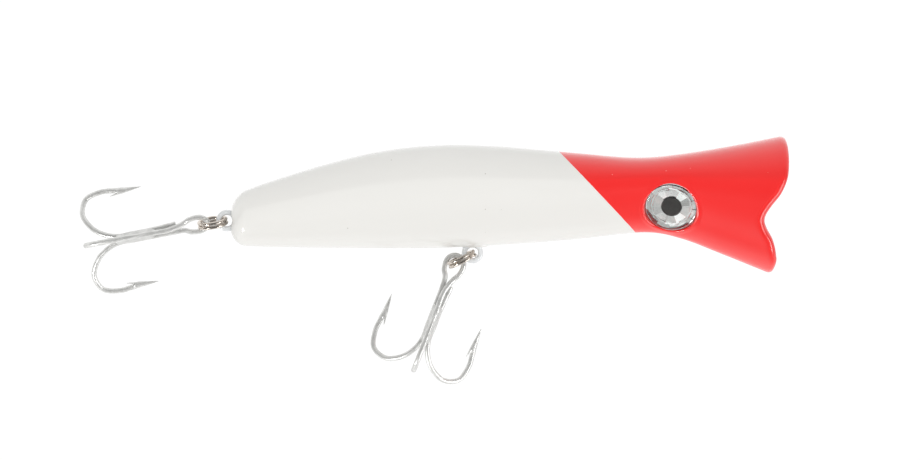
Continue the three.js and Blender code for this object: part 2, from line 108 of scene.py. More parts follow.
def line_reader(pairs):
    """A smooth curve through (position, value) pairs, read at any position."""
    points = np.array(pairs, float)
    last = len(points) - 1
    t = np.linspace(0, 1, 40, endpoint=False)[:, None]
    table = []
    for i in range(last):
        before, start = points[max(i - 1, 0)], points[i]
        end, after = points[i + 1], points[min(i + 2, last)]
        leave, arrive = (end - before) / 2, (after - start) / 2
        table.append(
            (2 * start - 2 * end + leave + arrive) * t**3
            + (3 * end - 3 * start - 2 * leave - arrive) * t**2 + leave * t + start)
    table = np.concatenate([*table, points[-1:]])
    if table[0, 0] > table[-1, 0]:
        table = table[::-1]
    return lambda position: np.interp(position, table[:, 0], table[:, 1])


top_at = line_reader(TOP_LINE)
bottom_at = line_reader(BOTTOM_LINE)
side_at = line_reader(SIDE_LINE)
egg_at = line_reader(EGG_LINE)
face_at = line_reader(FACE_LINE)


def tail_inset(x):
    along = np.clip(TAIL_X + TAIL_ROUND - x, 0, TAIL_ROUND)
    return TAIL_ROUND - np.sqrt(TAIL_ROUND**2 - along**2)


def middle_at(x):
    return (top_at(x) + bottom_at(x)) / 2


def section(x, angle, inset=0.0, scale=1.0):
    """Points of the body's cross-section at x; angle runs from the left side up over the back."""
    x, angle = np.broadcast_arrays(np.asarray(x, float), np.asarray(angle, float))
    pull = inset + tail_inset(x)
    height = (top_at(x) - bottom_at(x)) / 2 - pull
    width = side_at(x) - pull
    y = width * np.cos(angle) * (1 + egg_at(x) * np.sin(angle)) * scale
    z = middle_at(x) + height * np.sin(angle) * scale
    return np.stack([x, y, z], -1)


# ---- mesh helpers -------------------------------------------------------------------------

def make_object(name, verts, faces, smooth=True):
    mesh = bpy.data.meshes.new(name)
    mesh.from_pydata((np.asarray(verts, float) * MM).tolist(), [], faces)
    work = bmesh.new()
    work.from_mesh(mesh)
    bmesh.ops.remove_doubles(work, verts=work.verts, dist=1e-7)
    bmesh.ops.recalc_face_normals(work, faces=work.faces)
    for face in work.faces:
        face.smooth = smooth
    work.to_mesh(mesh)
    work.free()
    obj = bpy.data.objects.new(name, mesh)
    bpy.context.scene.collection.objects.link(obj)
    return obj


def band(rings, closed):
    """Points of the rings, and the faces from each ring to the next, or round to the first."""
    count, total = len(rings[0]), len(rings)
    verts = [p for ring in rings for p in np.asarray(ring, float)]
    faces = []
    for i in range(total if closed else total - 1):
        a, b = i * count, (i + 1) % total * count
        for j in range(count):
            k = (j + 1) % count
            faces.append((a + j, a + k, b + k, b + j))
    return verts, faces


def skin(name, rings, ends=(None, None), smooth=True):
    """A closed mesh through rings of points, each end shut by a fan round its middle."""
    verts, faces = band(rings, closed=False)
    count = len(rings[0])
    for i, end in ((0, ends[0]), (len(rings) - 1, ends[1])):
        verts.append(np.mean(rings[i], axis=0) if end is None else np.asarray(end, float))
        for j in range(count):
            faces.append((i * count + j, i * count + (j + 1) % count, len(verts) - 1))
    return make_object(name, verts, faces, smooth)


def torus_skin(name, rings):
    """A closed mesh through rings that come back to the first one."""
    return make_object(name, *band(rings, closed=True))


def combine(target, other, operation):
    """Cuts or joins with a solid, which is used up."""
    modifier = target.modifiers.new("combine", "BOOLEAN")
    modifier.operation = operation
    modifier.solver = "MANIFOLD"
    modifier.object = other
    graph = bpy.context.evaluated_depsgraph_get()
    mesh = bpy.data.meshes.new_from_object(target.evaluated_get(graph))
    target.modifiers.remove(modifier)
    old = target.data
    target.data = mesh
    mesh.name = target.name
    bpy.data.meshes.remove(old)
    used = other.data
    bpy.data.objects.remove(other)
    bpy.data.meshes.remove(used)


def box_solid(low, high):
    x0, y0, z0 = low
    x1, y1, z1 = high
    rings = [[(x, y0, z0), (x, y1, z0), (x, y1, z1), (x, y0, z1)] for x in (x0, x1)]
    return skin("box", rings, smooth=False)


def rod_solid(start, end, radius, sides=24):
    start, end = Vector(start), Vector(end)
    along = (end - start).normalized()
    side = along.orthogonal().normalized()
    other = along.cross(side)
    turns = [2 * math.pi * j / sides for j in range(sides)]
    rings = [[p + (side * math.cos(t) + other * math.sin(t)) * radius for t in turns]
             for p in (start, end)]
    return skin("rod", rings)


def finish_shading(obj, degrees=38):
    obj.data.set_sharp_from_angle(angle=math.radians(degrees))


def copy_object(obj, name):
    other = bpy.data.objects.new(name, obj.data.copy())
    other.data.name = name
    bpy.context.scene.collection.objects.link(other)
    return other


# ---- materials ----------------------------------------------------------------------------

class Paint:
    """A node material with short names for the nodes that it uses."""

    def __init__(self, name, **sockets):
        self.material = bpy.data.materials.new(name)
        self.material.use_nodes = True
        self.tree = self.material.node_tree
        self.shader = self.tree.nodes["Principled BSDF"]
        for key, value in sockets.items():
            self.shader.inputs[key.replace("_", " ")].default_value = value
        self.place = self.node("ShaderNodeTexCoord").outputs["Object"]

    def node(self, kind, **settings):
        made = self.tree.nodes.new(kind)
        for key, value in settings.items():
            setattr(made, key, value)
        return made

    def link(self, start, end):
        self.tree.links.new(start, end)

    def math(self, operation, *values):
        made = self.node("ShaderNodeMath", operation=operation)
        for socket, value in zip(made.inputs, values):
            if isinstance(value, (int, float)):
                socket.default_value = value
            else:
                self.link(value, socket)
        return made.outputs[0]

    def noise(self, scale, detail=3.0, vector=None):
        made = self.node("ShaderNodeTexNoise")
        made.inputs["Scale"].default_value = scale
        made.inputs["Detail"].default_value = detail
        self.link(vector or self.place, made.inputs["Vector"])
        return made.outputs["Fac"]

    def ramp(self, value, low, high):
        """0 below low, 1 above high."""
        return self.spread(value, low, high, 0, 1)

    def spread(self, value, low, high, to_low, to_high):
        """to_low where the value is low, to_high where it is high, and no further."""
        made = self.node("ShaderNodeMapRange")
        for key, number in (("From Min", low), ("From Max", high),
                            ("To Min", to_low), ("To Max", to_high)):
            made.inputs[key].default_value = number
        self.link(value, made.inputs["Value"])
        return made.outputs["Result"]

    def mix(self, factor, first, second):
        made = self.node("ShaderNodeMix", data_type="RGBA")
        self.link(factor, made.inputs["Factor"])
        for socket, value in ((made.inputs[6], first), (made.inputs[7], second)):
            if isinstance(value, tuple):
                socket.default_value = (*value, 1.0)
            else:
                self.link(value, socket)
        return made.outputs[2]

    def specks(self, spacing, size, chance):
        """Sparse dots: about `size` metres wide, in a share `chance` of cells `spacing` wide."""
        cells = self.node("ShaderNodeTexVoronoi")
        cells.inputs["Scale"].default_value = 1 / spacing
        self.link(self.place, cells.inputs["Vector"])
        near = self.math("LESS_THAN", cells.outputs["Distance"], size / spacing / 2)
        pick = self.node("ShaderNodeSeparateColor")
        self.link(cells.outputs["Color"], pick.inputs[0])
        kept = self.math("LESS_THAN", pick.outputs[0], chance)
        return self.math("MULTIPLY", near, kept)

    def color(self, value):
        self.link(value, self.shader.inputs["Base Color"])

    def roughness(self, value):
        self.link(value, self.shader.inputs["Roughness"])

    def bump(self, height, distance, strength=1.0):
        made = self.node("ShaderNodeBump")
        made.inputs["Distance"].default_value = distance
        made.inputs["Strength"].default_value = strength
        self.link(height, made.inputs["Height"])
        self.link(made.outputs[0], self.shader.inputs["Normal"])


WHITE = (0.91, 0.90, 0.872)
WHITE_SHADE = (0.895, 0.885, 0.855)
RED = (1.0, 0.022, 0.02)
RED_DEEP = (0.95, 0.012, 0.012)
SPLIT_TOP = (-55.15, 19.69)               # the colour line on the back (x, z)
SPLIT_LOW = (-33.9, -2.73)                # and under the throat


def body_paint():
    paint = Paint("body_paint", Roughness=0.38, Coat_Weight=1.0, Coat_Roughness=0.025, Coat_IOR=1.5)
    paint.shader.inputs["Specular IOR Level"].default_value = 0.25
    run = np.array(SPLIT_LOW) - np.array(SPLIT_TOP)
    across = np.array([-run[1], run[0]]) / np.linalg.norm(run)
    split = paint.node("ShaderNodeSeparateXYZ")
    paint.link(paint.place, split.inputs[0])
    east = paint.math("MULTIPLY", split.outputs[0], float(across[0]))
    north = paint.math("MULTIPLY", split.outputs[2], float(across[1]))
    total = paint.math("ADD", east, north)
    start = float(np.dot(across, SPLIT_TOP)) * MM
    ragged = paint.spread(paint.noise(900, 2), 0, 1, -0.00006, 0.00006)
    edge = paint.math("ADD", paint.math("SUBTRACT", total, start), ragged)
    is_red = paint.ramp(edge, -0.00006, 0.00006)
    cloud = paint.noise(45, 4)
    white = paint.mix(cloud, WHITE, WHITE_SHADE)
    white = paint.mix(paint.specks(0.0045, 0.00034, 0.5), white, (0.60, 0.585, 0.54))
    red = paint.mix(cloud, RED, RED_DEEP)
    red = paint.mix(paint.specks(0.0038, 0.0004, 0.55), red, (1.0, 0.20, 0.18))
    paint.color(paint.mix(is_red, white, red))
    paint.bump(paint.noise(420, 2), 0.000004)
    return paint.material


def wire_paint():
    paint = Paint("hanger_wire_paint", Roughness=0.3, Coat_Weight=0.6, Coat_Roughness=0.08)
    worn = paint.ramp(paint.noise(700, 3), 0.60, 0.66)
    paint.color(paint.mix(worn, (0.83, 0.85, 0.865), (0.62, 0.63, 0.64)))
    paint.link(paint.spread(worn, 0, 1, 0.0, 0.8), paint.shader.inputs["Metallic"])
    paint.bump(paint.noise(900, 2), 0.00001)
    return paint.material


def tin(name, base, deep, rough):
    paint = Paint(name, Metallic=0.55)
    mottle = paint.noise(520, 5)
    paint.color(paint.mix(paint.ramp(mottle, 0.35, 0.7), base, deep))
    paint.roughness(paint.spread(paint.noise(1300, 3), 0.3, 0.7, rough - 0.07, rough + 0.1))
    paint.bump(paint.noise(1300, 3), 0.000005)
    return paint.material


def nickel():
    paint = Paint("ring_nickel_plate", Metallic=1.0)
    paint.color(paint.mix(paint.noise(260, 2), (0.66, 0.605, 0.55), (0.53, 0.47, 0.415)))
    paint.roughness(paint.spread(paint.noise(900, 3), 0.3, 0.7, 0.22, 0.32))
    paint.bump(paint.noise(1500, 2), 0.000002)
    return paint.material


def foil():
    paint = Paint("eye_foil_silver", Metallic=1.0)
    # Painted reflection: each facet gets its own grey, from dark grey to full silver, standing in
    # for facets that mirror different parts of the surroundings.
    facet_painted_reflection = paint.node("ShaderNodeNewGeometry").outputs["Random Per Island"]
    silver = paint.mix(facet_painted_reflection, (0.58, 0.58, 0.57), (1.0, 1.0, 0.99))
    tint = paint.noise(260, 1)
    silver = paint.mix(paint.ramp(tint, 0.52, 0.78), silver, (0.93, 0.85, 0.83))
    silver = paint.mix(paint.ramp(tint, 0.46, 0.22), silver, (0.80, 0.84, 0.82))
    paint.color(silver)
    paint.roughness(paint.spread(paint.noise(1500, 2), 0.3, 0.7, 0.07, 0.14))
    paint.bump(paint.noise(1100, 2), 0.000004)
    return paint.material


def pupil():
    paint = Paint("eye_pupil_print", Specular_IOR_Level=0.3)
    paint.color(paint.mix(paint.noise(2500, 3), (0.030, 0.026, 0.023), (0.040, 0.034, 0.029)))
    paint.roughness(paint.spread(paint.noise(1800, 2), 0, 1, 0.45, 0.6))
    paint.bump(paint.noise(2500, 2), 0.000006)
    return paint.material


def lens():
    paint = Paint("eye_lens_resin", Roughness=0.02, IOR=1.45, Transmission_Weight=1.0)
    paint.color(paint.mix(paint.noise(300, 1), (0.985, 0.99, 0.99), (0.97, 0.98, 0.98)))
    paint.bump(paint.noise(500, 1), 0.000003)
    return paint.material


def lead():
    paint = Paint("cast_lead", Metallic=0.7)
    paint.color(paint.mix(paint.noise(500, 5), (0.40, 0.41, 0.43), (0.26, 0.27, 0.29)))
    paint.roughness(paint.spread(paint.noise(1100, 4), 0, 1, 0.5, 0.75))
    paint.bump(paint.noise(900, 5), 0.00008)
    return paint.material


def steel():
    paint = Paint("polished_ball_steel", Metallic=1.0)
    paint.color(paint.mix(paint.noise(600, 2), (0.74, 0.74, 0.74), (0.66, 0.66, 0.67)))
    paint.roughness(paint.spread(paint.noise(2000, 2), 0, 1, 0.08, 0.16))
    paint.bump(paint.noise(1200, 2), 0.000003)
    return paint.material


BODY_PAINT = body_paint()
WIRE_PAINT = wire_paint()
HOOK_TIN = tin("hook_satin_tin", (0.76, 0.76, 0.745), (0.62, 0.62, 0.605), 0.36)
SOLDER = tin("braze_solder", (0.72, 0.72, 0.705), (0.58, 0.58, 0.57), 0.46)
NICKEL = nickel()
FOIL = foil()
PUPIL = pupil()
LENS = lens()
LEAD = lead()
STEEL = steel()


def place(obj, material, slot, body, *nodes):
    obj.data.materials.clear()
    obj.data.materials.append(material)
    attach(obj, body)
    if nodes:
        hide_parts(*nodes)
    return obj


# ---- body shells --------------------------------------------------------------------------

AROUND = 192                              # points round the body
BODY_STEPS = 150
LIP_STEPS = 20
CUP_STEPS = 26
RIM_GUESS_X = 8.0                         # where the search for the lip's edge starts
RIM_TRIES = 60
GROOVE_R = 1.9                            # cross groove in the tail end, for the ring
GROOVE_HALF = 4.2


def outer_body():
    """The whole painted outside: flat tail end, flanks, rounded lip and dished mouth."""
    angles = np.arange(AROUND) * 2 * np.pi / AROUND
    rim_x = np.full(AROUND, RIM_GUESS_X)
    for _ in range(RIM_TRIES):
        rim_x = (rim_x + face_at(section(rim_x, angles)[:, 2])) / 2
    wall_x = rim_x - LIP_ROUND
    rings = []
    tail_middle = np.array([TAIL_X, 0, middle_at(TAIL_X)])
    tail_edge = section(TAIL_X, angles)
    for share in (0.25, 0.5, 0.75):
        rings.append(tail_middle + (tail_edge - tail_middle) * share)
    for turn in np.linspace(0, np.pi / 2, 13):
        rings.append(section(TAIL_X + TAIL_ROUND * (1 - math.cos(turn)), angles))
    start = TAIL_X + TAIL_ROUND
    for share in np.linspace(0, 1, BODY_STEPS + 1)[1:]:
        rings.append(section(start + (wall_x - start) * share, angles))
    turn_end = np.arccos(1 - (wall_x - CUP_BACK_X) / (CUP_FRONT_X - CUP_BACK_X))
    outer = section(wall_x, angles)
    inner = section(wall_x, angles, LIP_WALL, np.sin(turn_end))
    forward = outer - section(wall_x - 0.5, angles)
    forward /= np.linalg.norm(forward, axis=1)[:, None]
    crest = outer + (inner - outer) * LIP_CREST
    for turn in np.linspace(0, np.pi, LIP_STEPS + 1)[1:]:
        edge = outer - crest if turn < np.pi / 2 else crest - inner
        rings.append(crest + edge * math.cos(turn) + forward * LIP_ROUND * math.sin(turn))
    for share in np.linspace(1, 0, CUP_STEPS + 1)[1:-1]:
        turn = turn_end * share
        x = CUP_BACK_X + (CUP_FRONT_X - CUP_BACK_X) * (1 - np.cos(turn))
        rings.append(section(x, angles, LIP_WALL, np.sin(turn)))
    cup_middle = (CUP_BACK_X, 0, float(middle_at(CUP_BACK_X)))
    return skin("outer_body", rings, ends=(tail_middle, cup_middle))


def hollow(span, inset):
    angles = np.arange(64) * 2 * np.pi / 64
    return skin("hollow", [section(x, angles, inset) for x in np.linspace(*span, 9)])


EYE_X = -23.4
EYE_ANGLE = math.radians(-21.3)
EYE_R = 7.3
EYE_SINK = 2.9
SOCKET_R = 7.52                           # wall of the socket, just clear of the eye
RIM_R = 9.35                              # where the raised paint round the eye runs out
RIM_CREST_R = 8.05
RIM_RISE = 0.15


class EyeFrame:
    """Axes at the middle of an eye: outward from the body, forward along it, and up."""

    def __init__(self, side):
        # the left flank has angles near 0, and the right flank mirrors it
        step = 0.01
        self.side = side
        self.middle = self.on_body(EYE_X, EYE_ANGLE)
        along = self.on_body(EYE_X + step, EYE_ANGLE) - self.on_body(EYE_X - step, EYE_ANGLE)
        round_ = self.on_body(EYE_X, EYE_ANGLE + step) - self.on_body(EYE_X, EYE_ANGLE - step)
        out = np.cross(round_, along)
        out /= np.linalg.norm(out)
        if out[1] * side < 0:
            out = -out
        forward = along - out * np.dot(along, out)
        self.out = out
        self.forward = forward / np.linalg.norm(forward)
        self.up = round_ - out * np.dot(round_, out)
        self.up -= self.forward * np.dot(self.up, self.forward)
        self.up /= np.linalg.norm(self.up)

    def on_body(self, x, angle):
        point = section(x, angle)
        return point * np.array([1, self.side, 1])

    def at(self, radius, turn, height):
        return (self.middle + self.forward * radius * np.cos(turn)
                + self.up * radius * np.sin(turn) + self.out * height)

    def skin_height(self, radius, turn):
        """Height of the body's surface over the eye's plane, at that place."""
        want = np.array([radius * np.cos(turn), radius * np.sin(turn)])
        guess = np.array([EYE_X + want[0], EYE_ANGLE + want[1] / 12])
        for _ in range(12):
            here = self.on_body(*guess) - self.middle
            miss = np.array([here @ self.forward, here @ self.up]) - want
            slopes = []
            for nudge in (np.array([0.01, 0]), np.array([0, 0.001])):
                there = self.on_body(*(guess + nudge)) - self.middle
                slopes.append((np.array([there @ self.forward, there @ self.up])
                               - miss - want) / nudge.sum())
            guess = guess - np.linalg.solve(np.array(slopes).T, miss)
        return float((self.on_body(*guess) - self.middle) @ self.out)


def turned(profile, eye, sides=96, name="turned"):
    """A solid of revolution about the eye's axis, from (radius, height) pairs."""
    rings = []
    for radius, height in profile:
        rings.append([eye.at(radius, 2 * math.pi * j / sides, height) for j in range(sides)])
    return skin(name, rings)


def socket_rim(word, eye):
    """The soft raised edge that thick paint makes round the socket, with the socket's wall."""
    def rise(radius):
        share = (radius - RIM_CREST_R) / (RIM_R - RIM_CREST_R)
        return RIM_RISE * (1 + math.cos(math.pi * min(1, max(0, share)))) / 2 - 0.006

    profile = [(radius, rise(radius)) for radius in np.linspace(RIM_R, RIM_CREST_R, 12)]
    fillet = RIM_CREST_R - SOCKET_R
    for turn in np.linspace(0, math.pi / 2, 9)[1:]:
        profile.append((RIM_CREST_R - fillet * math.sin(turn),
                        rise(RIM_CREST_R) - fillet * (1 - math.cos(turn))))
    sides = 120
    rings = []
    for j in range(sides):
        turn = 2 * math.pi * j / sides
        ring = []
        for radius, height in profile:
            level = eye.skin_height(radius, turn)
            ring.append(eye.at(radius, turn, level + height))
        base = -EYE_SINK - 0.25
        ring.append(eye.at(SOCKET_R, turn, base))
        ring.append(eye.at(SOCKET_R + 0.9, turn, base))
        level = eye.skin_height(SOCKET_R + 0.9, turn)
        ring.append(eye.at(SOCKET_R + 0.9, turn, level - 0.5))
        level = eye.skin_height(RIM_R, turn)
        ring.append(eye.at(RIM_R - 0.02, turn, level - 0.25))
        rings.append(ring)
    rim = torus_skin(f"{word}_eye_socket_rim", rings)
    finish_shading(rim, 50)
    return rim


EYES = {"right": EyeFrame(-1), "left": EyeFrame(1)}


def make_shells():
    body = outer_body()
    for span in HOLLOWS:
        combine(body, hollow(span, WALL), "DIFFERENCE")
    combine(body, hollow(HEAD_HOLLOW, HEAD_WALL), "DIFFERENCE")
    radius = WIRE_R + FIT
    reach = LOOP_R + WIRE_R + FIT
    combine(body, rod_solid((TAIL_X - 2, 0, 0), (CUP_BACK_X + 3, 0, 0), radius), "DIFFERENCE")
    combine(body, box_solid((TAIL_LOOP[0], -radius, -reach), (TAIL_LOOP[0] + reach, radius, reach)),
            "DIFFERENCE")
    combine(body, rod_solid((TAIL_LOOP[0], -GROOVE_HALF, 0), (TAIL_LOOP[0], GROOVE_HALF, 0),
                            GROOVE_R, 48), "DIFFERENCE")
    combine(body, box_solid((BELLY_LOOP[0] - reach, -radius, BELLY_LOOP[1]),
                            (BELLY_LOOP[0] + reach, radius, -4)), "DIFFERENCE")
    for eye in EYES.values():
        socket = turned([(SOCKET_R + 0.6, -EYE_SINK), (SOCKET_R + 0.6, 4)], eye)
        combine(body, socket, "DIFFERENCE")
    left = copy_object(body, "left_shell_painted")
    body.name = "right_shell_painted"
    combine(body, box_solid((-170, -40, -40), (40, 0, 40)), "INTERSECT")
    combine(left, box_solid((-170, 0, -40), (40, 40, 40)), "INTERSECT")
    for half, node in ((body, "right_body_shell"), (left, "left_body_shell")):
        finish_shading(half)
        place(half, BODY_PAINT, "body_paint", LURE, node)
    for word, eye in EYES.items():
        place(socket_rim(word, eye), BODY_PAINT, "body_paint", LURE)


make_shells()

# ---- eyes ---------------------------------------------------------------------------------

# Rings of foil facets: inner radius, outer radius, number, mean height and greatest tilt.
FOIL_RINGS = [
    (0.0, 2.6, 6, -2.45, 0.0), (2.6, 5.4, 10, -2.42, 0.10), (5.4, 5.95, 9, -2.36, 0.22),
    (5.95, 7.28, 15, -2.52, 0.16),
]
FOIL_GAP = 0.02                           # between rings of facets
FOIL_SLIT = 0.004                         # between neighbours, in radians
FOIL_UNEVEN = 0.22                        # how far edges stray, as a share of a facet
FOIL_STEP = 0.04                          # how far levels stray
FOIL_BACK = -EYE_SINK + 0.03


def eye_foil(word, eye):
    """Pressed foil: rings of small flat facets, each tipped its own way."""
    chance = random.Random(21 if word == "right" else 22)
    verts, faces = [], []
    for inner, outer, number, height, tip in FOIL_RINGS:
        offset = chance.uniform(0, 1)
        edges = [(j + offset + chance.uniform(-FOIL_UNEVEN, FOIL_UNEVEN)) / number
                 for j in range(number)]
        for j in range(number):
            start, end = edges[j], edges[(j + 1) % number] + (j + 1) // number
            start, end = start * 2 * math.pi + FOIL_SLIT, end * 2 * math.pi - FOIL_SLIT
            slope_in, slope_round = chance.uniform(-tip, tip), chance.uniform(-tip, tip)
            level = height + chance.uniform(-FOIL_STEP, FOIL_STEP)
            middle_r, middle_t = (inner + outer) / 2, (start + end) / 2
            near = max(inner + FOIL_GAP, 0.05)
            far = outer - FOIL_GAP
            corners = [(near, start), (far, start), (far, middle_t), (far, end), (near, end),
                       (near, middle_t)]
            base = len(verts)
            for is_top in (True, False):
                for radius, turn in corners:
                    reach = radius * math.cos(turn - middle_t) - middle_r
                    aside = radius * math.sin(turn - middle_t)
                    top = level + slope_in * reach + slope_round * aside
                    verts.append(eye.at(radius, turn, top if is_top else FOIL_BACK))
            faces.append(tuple(range(base, base + 6)))
            faces.append(tuple(range(base + 11, base + 5, -1)))
            for k in range(6):
                m = (k + 1) % 6
                faces.append((base + k, base + m, base + 6 + m, base + 6 + k))
    made = make_object(f"{word}_eye_foil_facets", verts, faces, smooth=False)
    return place(made, FOIL, "eye_foil", LURE, f"{word}_eye_foil")


def eye_pupil(word, eye):
    profile = [(2.7, -2.2), (2.95, -2.16), (2.95, -2.06), (2.85, -2.02), (2.2, -2.0)]
    made = turned(profile, eye, 64, f"{word}_eye_pupil_print")
    finish_shading(made)
    return place(made, PUPIL, "eye_pupil", LURE, f"{word}_eye_pupil")


LENS_BASE = -1.94                         # heights from the body's surface
LENS_RIM = LENS_BASE + 0.75
LENS_BULGE = 0.4


def eye_lens(word, eye):
    profile = [(EYE_R - 0.12, LENS_BASE), (EYE_R, LENS_BASE + 0.1), (EYE_R, LENS_RIM)]
    for turn in np.linspace(0, math.pi / 2, 22)[1:-1]:
        profile.append((EYE_R * math.cos(turn), LENS_RIM + LENS_BULGE * math.sin(turn)))
    made = turned(profile, eye, 96, f"{word}_eye_lens_dome")
    finish_shading(made)
    return place(made, LENS, "eye_lens", LURE, f"{word}_eye_lens")


for word, eye in EYES.items():
    eye_foil(word, eye)
    eye_pupil(word, eye)
    eye_lens(word, eye)

# ---- wire along a path --------------------------------------------------------------------


def smooth_path(points, steps):
    """Centripetal Catmull-Rom curve through the points, evenly stepped in its own measure."""
    points = [np.asarray(p, float) for p in points]
    whole = [2 * points[0] - points[1], *points, 2 * points[-1] - points[-2]]
    last = len(points) - 1
    made = []
    for s in np.linspace(0, last, steps + 1):
        i = min(int(s), last - 1)
        t = s - i
        before, start, end, after = whole[i:i + 4]
        gaps = [max(np.linalg.norm(b - a), 1e-6) ** 0.5
                for a, b in ((before, start), (start, end), (end, after))]
        leave = ((start - before) / gaps[0] - (end - before) / (gaps[0] + gaps[1])
                 + (end - start) / gaps[1]) * gaps[1]
        arrive = ((end - start) / gaps[1] - (after - start) / (gaps[1] + gaps[2])
                  + (after - end) / gaps[2]) * gaps[1]
        made.append((2 * start - 2 * end + leave + arrive) * t**3
                    + (3 * end - 3 * start - 2 * leave - arrive) * t**2 + leave * t + start)
    return made


def unit(v):
    return v / np.linalg.norm(v)


def sweep(path, radii, normal=None, sides=20):
    """Rings round a path. radii holds one number or (across, along normal) per point."""
    path = [np.asarray(p, float) for p in path]
    tangents = [unit(path[min(i + 1, len(path) - 1)] - path[max(i - 1, 0)])
                for i in range(len(path))]
    side = None
    rings = []
    for i, (point, tangent) in enumerate(zip(path, tangents)):
        if normal is not None:
            side = np.cross(np.asarray(normal, float), tangent)
        elif side is None:
            side = np.cross(tangent, [0.3, 0.9, 0.1])
        side = unit(side - tangent * np.dot(side, tangent))
        other = np.cross(tangent, side)
        size = radii[i] if hasattr(radii, "__len__") else radii
        a, b = size if hasattr(size, "__len__") else (size, size)
        turns = [2 * math.pi * j / sides for j in range(sides)]
        rings.append([point + side * a * math.cos(t) + other * b * math.sin(t) for t in turns])
    return rings


def round_end(path, radius, at_start):
    """Extra points and radii that give a wire a softly rounded cut end."""
    point = np.asarray(path[0] if at_start else path[-1], float)
    near = np.asarray(path[1] if at_start else path[-2], float)
    out = unit(point - near)
    extra = [(point + out * radius * 0.35 * math.sin(t), radius * (0.55 + 0.45 * math.cos(t)))
             for t in np.linspace(0, math.pi / 2, 5)[1:]]
    return extra[::-1] if at_start else extra


def wire(name, points, radius, steps, sides=20):
    path = smooth_path(points, steps)
    first, last = round_end(path, radius, True), round_end(path, radius, False)
    whole = [p for p, _ in first] + path + [p for p, _ in last]
    radii = [r for _, r in first] + [radius] * len(path) + [r for _, r in last]
    return skin(name, sweep(whole, radii, sides=sides))


# ---- through-wire, with its loops and paint collar ----------------------------------------

WIRE_LAP_Z = -0.72                        # each cut end lies beside the straight run
WIRE_RISE_Z = 0.1


def circle_points(centre, radius, start, end, count):
    return [(centre[0] + radius * math.cos(t), 0.0, centre[1] + radius * math.sin(t))
            for t in np.linspace(math.radians(start), math.radians(end), count)]


def through_wire():
    """One wire: line-tie loop, straight run, and a tail loop whose end lies beside the run."""
    tie = circle_points((0, 0), LOOP_R, -172, 172, 15)
    tail = circle_points(TAIL_LOOP, LOOP_R, 8, 352, 15)
    run = [(x, 0, 0) for x in (-140, -110, -80, -50, -20)]
    front = [(-6.5, 0, WIRE_LAP_Z), *tie, (-4.2, 0, WIRE_RISE_Z)]
    back = [(-146.3, 0, WIRE_RISE_Z), *tail, (-145.5, 0, WIRE_LAP_Z)]
    made = wire("through_wire_painted", [*front, *run[::-1], *back], WIRE_R, 520)
    belly = circle_points(BELLY_LOOP, LOOP_R, 118, 422, 15)
    leg_one = [(-83.3, 0, -0.4), (-82.3, 0, -4.6)]
    leg_two = [(-77.9, 0, -4.6), (-76.9, 0, -0.4)]
    hanger = wire("belly_hanger_painted", [*leg_one, *belly, *leg_two], WIRE_R, 160)
    place(made, WIRE_PAINT, "hanger_wire", LURE, "through_wire")
    place(hanger, WIRE_PAINT, "hanger_wire", LURE)


def paint_collar(name, centre, normal, half_long, half_wide, rise, depth):
    """Paint that has filled a slot and crept a little way up the wire."""
    normal = np.asarray(normal, float)
    along = np.array([1.0, 0, 0]) if abs(normal[0]) < 0.5 else np.array([0, 0, 1.0])
    across = np.cross(normal, along)
    rings = []
    for share, height in ((0.97, -depth), (1.0, -0.12), (0.9, 0.02), (0.7, 0.55 * rise),
                          (0.45, 0.9 * rise), (0.2, rise)):
        ring = []
        for j in range(48):
            turn = 2 * math.pi * j / 48
            ring.append(np.asarray(centre, float) + along * half_long * share * math.cos(turn)
                        + across * half_wide * share * math.sin(turn) + normal * height)
        rings.append(ring)
    return skin(name, rings)


through_wire()
belly_z = float(bottom_at(BELLY_LOOP[0]))
collar = paint_collar("belly_hanger_paint_collar", (BELLY_LOOP[0], 0, belly_z), (0, 0, -1),
                      4.4, 1.5, 0.32, 1.2)
place(collar, BODY_PAINT, "body_paint", LURE)

# ---- split rings --------------------------------------------------------------------------

COIL_WIRE_R = 0.5
COIL_WIDTH = 2.1                          # over both turns
COIL_CROSSING = 26                        # degrees that the step between them takes up
RING_R = 3.95


def ring_frame(start, angle, lean):
    """Axes of a split ring that crosses its hanger at start: along, across and its own axis."""
    turn, tip = math.radians(angle), math.radians(lean)
    along = np.array([math.cos(turn), 0, math.sin(turn)])
    up = unit(np.cross([0, 1, 0], along))
    if up[2] < 0:
        up = -up
    across = np.array([0, math.cos(tip), 0]) + up * math.sin(tip)
    centre = np.array([start[0], 0, start[1]]) + along * RING_R
    return centre, along, across, unit(np.cross(along, across))


def split_ring(name, axes, body, node, gap_at):
    """Two full turns of wire side by side, with the step from one to the other at gap_at."""
    centre, along, across, normal = axes
    level = COIL_WIDTH / 2 - COIL_WIRE_R
    step = math.radians(COIL_CROSSING)
    path = []
    for t in np.linspace(step * 0.5, 4 * math.pi - step * 0.5, 260):
        share = min(1, max(0, (t - (2 * math.pi - step)) / (2 * step)))
        height = level * (2 * share * share * (3 - 2 * share) - 1)
        turn = t + math.radians(gap_at)
        path.append(centre + (along * math.cos(turn) + across * math.sin(turn)) * RING_R
                    + normal * height)
    first, last = round_end(path, COIL_WIRE_R, True), round_end(path, COIL_WIRE_R, False)
    whole = [p for p, _ in first] + path + [p for p, _ in last]
    radii = [r for _, r in first] + [COIL_WIRE_R] * len(path) + [r for _, r in last]
    made = skin(name, sweep(whole, radii, normal, sides=18))
    return place(made, NICKEL, "ring_nickel", body, node)


TAIL_RING = ring_frame((-150.9, 0.1), 190, 13)
BELLY_RING = ring_frame((-79.63, -9.29), 206.7, 3.7)
split_ring("tail_ring_coil", TAIL_RING, "tail_ring", "tail_split_ring", 118)
split_ring("belly_ring_coil", BELLY_RING, "belly_ring", "belly_split_ring", 215)

# ---- treble hooks -------------------------------------------------------------------------

